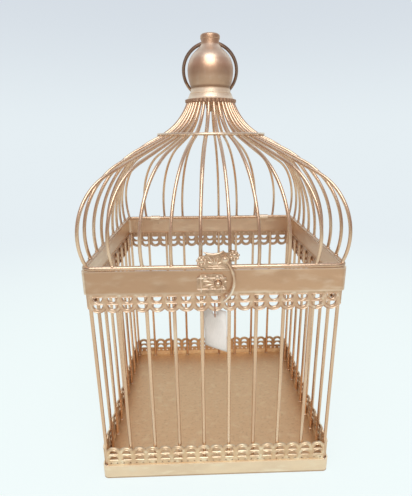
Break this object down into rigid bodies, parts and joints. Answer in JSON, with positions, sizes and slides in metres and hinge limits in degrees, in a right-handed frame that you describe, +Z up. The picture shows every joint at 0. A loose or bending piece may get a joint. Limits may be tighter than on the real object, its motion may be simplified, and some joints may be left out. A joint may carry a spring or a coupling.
{
  "type": "wedding card box",
  "caption": "Birdcage wedding card box: wire cage with scalloped pierced bands, hinged ogee dome lid, ball finial with carrying ring, swing-hook latch and blank hang tag.",
  "frame": {"origin": "centre of the square base at the table surface", "axes": "+X to the right seen from the latch side, +Y toward the hinges at the back, +Z up"},
  "size_m": [0.2232, 0.2284, 0.4068],
  "materials": {
    "gold_paint": "satin metallic gold paint on iron wire and sheet",
    "tag_paper": "matt card",
    "loop_wire": "thin lacquered copper wire"
  },
  "bodies": {
    "cage": {"base_skirt": "gold_paint", "floor_pan": "gold_paint", "top_band": "gold_paint", "lower_lace_front": "gold_paint", "lower_lace_right": "gold_paint", "lower_lace_back": "gold_paint", "lower_lace_left": "gold_paint", "upper_lace_front": "gold_paint", "upper_lace_right": "gold_paint", "upper_lace_back": "gold_paint", "upper_lace_left": "gold_paint", "bars_front": "gold_paint", "bars_right": "gold_paint", "bars_back": "gold_paint", "bars_left": "gold_paint", "corner_posts": "gold_paint", "hinge_strap_left": "gold_paint", "hinge_strap_right": "gold_paint", "strap_rivets": "gold_paint", "catch_plate": "gold_paint", "catch_rivets": "gold_paint", "catch_stud": "gold_paint", "tag_loop": "loop_wire"},
    "lid": {"lid_frame": "gold_paint", "ribs_front": "gold_paint", "ribs_right": "gold_paint", "ribs_back": "gold_paint", "ribs_left": "gold_paint", "corner_ribs": "gold_paint", "dome_hoop": "gold_paint", "crown_plate": "gold_paint", "finial_collar": "gold_paint", "finial_ball": "gold_paint", "finial_knob": "gold_paint", "finial_stud": "gold_paint", "finial_washer": "gold_paint", "finial_nut": "gold_paint", "hasp_plate": "gold_paint", "hasp_rivets": "gold_paint", "hook_rivet": "gold_paint"},
    "hook": {"latch_hook": "gold_paint"},
    "ring": {"carry_ring": "gold_paint"},
    "tag": {"hang_tag": "tag_paper"}
  },
  "joints": [
    {"name": "lid_hinge", "type": "hinge", "parent": "cage", "child": "lid", "pos_m": [0, 0.108, 0.2138], "axis": [-1, 0, 0], "range_deg": [0, 100]},
    {"name": "hook_pivot", "type": "hinge", "parent": "lid", "child": "hook", "pos_m": [0.0076, -0.114, 0.2218], "axis": [0, -1, 0], "range_deg": [-24, 100]},
    {"name": "ring_swing", "type": "hinge", "parent": "lid", "child": "ring", "pos_m": [0, 0, 0.40001], "axis": [1, 0, 0], "range_deg": [0, 300]},
    {"name": "tag_swing", "type": "hinge", "parent": "cage", "child": "tag", "pos_m": [-0.0005, -0.09787, 0.16905], "axis": [1, 0, 0], "range_deg": [0, 60]}
  ]
}
